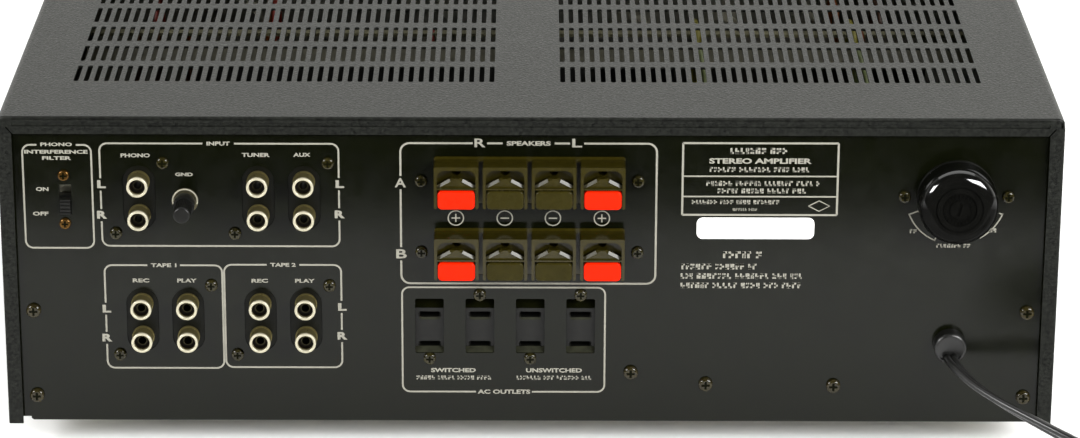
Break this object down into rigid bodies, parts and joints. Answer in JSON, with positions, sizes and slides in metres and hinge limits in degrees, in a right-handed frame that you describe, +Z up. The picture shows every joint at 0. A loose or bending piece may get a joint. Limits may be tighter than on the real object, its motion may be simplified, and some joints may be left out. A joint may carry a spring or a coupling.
{
  "type": "stereo integrated amplifier",
  "caption": "Full-width stereo integrated amplifier in a vented sheet-metal case, with phono jacks, push speaker terminals, mains outlets and a voltage selector on its rear.",
  "frame": {"origin": "centre of the case's plan at the bottom of its feet", "axes": "+X along the case's width, -Y to the front controls, +Y to the rear sockets, +Z up"},
  "size_m": [0.5392, 0.538, 0.145],
  "materials": {
    "cover_paint": "fine-textured dark grey paint",
    "panel_paint": "satin black paint with pale print",
    "zinc_steel": "zinc plated",
    "foot_plastic": "moulded, matte",
    "zinc_screw": "yellow zinc",
    "black_screw": "black oxide, low sheen",
    "brass_screw": "yellow passivated",
    "black_phenolic": "phenolic board",
    "jack_nickel": "warm nickel plate",
    "jack_insulator": "brown phenolic",
    "contact_tin": "tinned",
    "black_plastic": "moulded, satin",
    "gloss_black": "polished",
    "terminal_plastic": "dark olive-brown, glossy",
    "tab_red": "bright orange-red",
    "tab_dark": "dark olive-brown",
    "cord_plastic": "soft grey PVC",
    "tie_plastic": "woven black strap",
    "brushed_fascia": "fine horizontal brushing",
    "knob_aluminium": "turned",
    "lamp_lens": "amber-red lens",
    "transformer_iron": "varnished laminations",
    "winding_tape": "amber tape",
    "capacitor_sleeve": "shrink sleeve",
    "heatsink_aluminium": "black anodised",
    "circuit_board": "paper phenolic board"
  },
  "bodies": {
    "chassis": {"ac_outlets": "black_plastic", "amplifier_board": "circuit_board", "bottom_plate": "zinc_steel", "cord_bushing": "cord_plastic", "cord_tie": "tie_plastic", "cover_screws": "black_screw", "fascia": "brushed_fascia", "feet": "foot_plastic", "filter_capacitors": "capacitor_sleeve", "filter_switch": "zinc_steel", "foot_screws": "zinc_screw", "front_panel": "zinc_steel", "ground_post": "jack_nickel", "headphone_socket": "black_plastic", "heatsink": "heatsink_aluminium", "jack_contacts": "contact_tin", "jack_insulators": "jack_insulator", "jack_plates": "black_phenolic", "jack_shells": "jack_nickel", "mains_cord": "cord_plastic", "mains_cord_coil": "cord_plastic", "mains_plug": "cord_plastic", "outlet_contacts": "contact_tin", "output_transistors": "zinc_steel", "panel_screws": "brass_screw", "plug_blades": "contact_tin", "potentiometers": "zinc_steel", "power_lamp": "lamp_lens", "preamp_board": "circuit_board", "rear_panel": "panel_paint", "side_rails": "zinc_steel", "socket_screws": "black_screw", "speaker_terminals_a": "terminal_plastic", "speaker_terminals_b": "terminal_plastic", "switch_frames": "zinc_steel", "switch_screws": "brass_screw", "terminal_contacts": "contact_tin", "top_cover": "cover_paint", "transformer_core": "transformer_iron", "transformer_winding": "winding_tape", "voltage_selector": "black_plastic"},
    "ground_knob": {"ground_knob": "black_plastic"},
    "filter_slider": {"filter_slider": "black_plastic"},
    "voltage_cap": {"voltage_cap": "gloss_black"},
    "volume_knob": {"volume_knob": "knob_aluminium"},
    "input_knob": {"input_knob": "knob_aluminium"},
    "bass_knob": {"bass_knob": "knob_aluminium"},
    "treble_knob": {"treble_knob": "knob_aluminium"},
    "balance_knob": {"balance_knob": "knob_aluminium"},
    "power_button": {"power_button": "knob_aluminium"},
    "tape_button": {"tape_button": "knob_aluminium"},
    "loudness_button": {"loudness_button": "knob_aluminium"},
    "speaker_tab_a1": {"speaker_tab_a1": "tab_red"},
    "speaker_tab_a2": {"speaker_tab_a2": "tab_dark"},
    "speaker_tab_a3": {"speaker_tab_a3": "tab_dark"},
    "speaker_tab_a4": {"speaker_tab_a4": "tab_red"},
    "speaker_tab_b1": {"speaker_tab_b1": "tab_red"},
    "speaker_tab_b2": {"speaker_tab_b2": "tab_dark"},
    "speaker_tab_b3": {"speaker_tab_b3": "tab_dark"},
    "speaker_tab_b4": {"speaker_tab_b4": "tab_red"}
  },
  "joints": [
    {"name": "speaker_tab_a1_press", "type": "slide", "parent": "chassis", "child": "speaker_tab_a1", "axis": [0, -1, 0], "range_m": [0, 0.004], "stiffness_N_per_m": 800, "springref_m": -0.001},
    {"name": "speaker_tab_a2_press", "type": "slide", "parent": "chassis", "child": "speaker_tab_a2", "axis": [0, -1, 0], "range_m": [0, 0.004], "stiffness_N_per_m": 800, "springref_m": -0.001},
    {"name": "speaker_tab_a3_press", "type": "slide", "parent": "chassis", "child": "speaker_tab_a3", "axis": [0, -1, 0], "range_m": [0, 0.004], "stiffness_N_per_m": 800, "springref_m": -0.001},
    {"name": "speaker_tab_a4_press", "type": "slide", "parent": "chassis", "child": "speaker_tab_a4", "axis": [0, -1, 0], "range_m": [0, 0.004], "stiffness_N_per_m": 800, "springref_m": -0.001},
    {"name": "speaker_tab_b1_press", "type": "slide", "parent": "chassis", "child": "speaker_tab_b1", "axis": [0, -1, 0], "range_m": [0, 0.004], "stiffness_N_per_m": 800, "springref_m": -0.001},
    {"name": "speaker_tab_b2_press", "type": "slide", "parent": "chassis", "child": "speaker_tab_b2", "axis": [0, -1, 0], "range_m": [0, 0.004], "stiffness_N_per_m": 800, "springref_m": -0.001},
    {"name": "speaker_tab_b3_press", "type": "slide", "parent": "chassis", "child": "speaker_tab_b3", "axis": [0, -1, 0], "range_m": [0, 0.004], "stiffness_N_per_m": 800, "springref_m": -0.001},
    {"name": "speaker_tab_b4_press", "type": "slide", "parent": "chassis", "child": "speaker_tab_b4", "axis": [0, -1, 0], "range_m": [0, 0.004], "stiffness_N_per_m": 800, "springref_m": -0.001},
    {"name": "filter_slide", "type": "slide", "parent": "chassis", "child": "filter_slider", "axis": [0, 0, 1], "range_m": [0, 0.0056]},
    {"name": "ground_knob_turn", "type": "hinge", "parent": "chassis", "child": "ground_knob", "pos_m": [0.1368, 0.175, 0.1093], "axis": [0, 1, 0], "range_deg": [0, 360]},
    {"name": "voltage_cap_turn", "type": "hinge", "parent": "chassis", "child": "voltage_cap", "pos_m": [-0.1685, 0.175, 0.1109], "axis": [0, 1, 0], "range_deg": [-60, 60]},
    {"name": "volume_knob_turn", "type": "hinge", "parent": "chassis", "child": "volume_knob", "pos_m": [0.138, -0.17, 0.0855], "axis": [0, 1, 0], "range_deg": [-150, 150]},
    {"name": "input_knob_turn", "type": "hinge", "parent": "chassis", "child": "input_knob", "pos_m": [0.05, -0.17, 0.0855], "axis": [0, 1, 0], "range_deg": [-60, 60]},
    {"name": "bass_knob_turn", "type": "hinge", "parent": "chassis", "child": "bass_knob", "pos_m": [-0.13, -0.17, 0.0795], "axis": [0, 1, 0], "range_deg": [-150, 150]},
    {"name": "treble_knob_turn", "type": "hinge", "parent": "chassis", "child": "treble_knob", "pos_m": [-0.088, -0.17, 0.0795], "axis": [0, 1, 0], "range_deg": [-150, 150]},
    {"name": "balance_knob_turn", "type": "hinge", "parent": "chassis", "child": "balance_knob", "pos_m": [-0.046, -0.17, 0.0795], "axis": [0, 1, 0], "range_deg": [-150, 150]},
    {"name": "power_button_press", "type": "slide", "parent": "chassis", "child": "power_button", "axis": [0, 1, 0], "range_m": [0, 0.004], "stiffness_N_per_m": 500, "springref_m": -0.001},
    {"name": "tape_button_press", "type": "slide", "parent": "chassis", "child": "tape_button", "axis": [0, 1, 0], "range_m": [0, 0.003], "stiffness_N_per_m": 500, "springref_m": -0.001},
    {"name": "loudness_button_press", "type": "slide", "parent": "chassis", "child": "loudness_button", "axis": [0, 1, 0], "range_m": [0, 0.003], "stiffness_N_per_m": 500, "springref_m": -0.001}
  ]
}
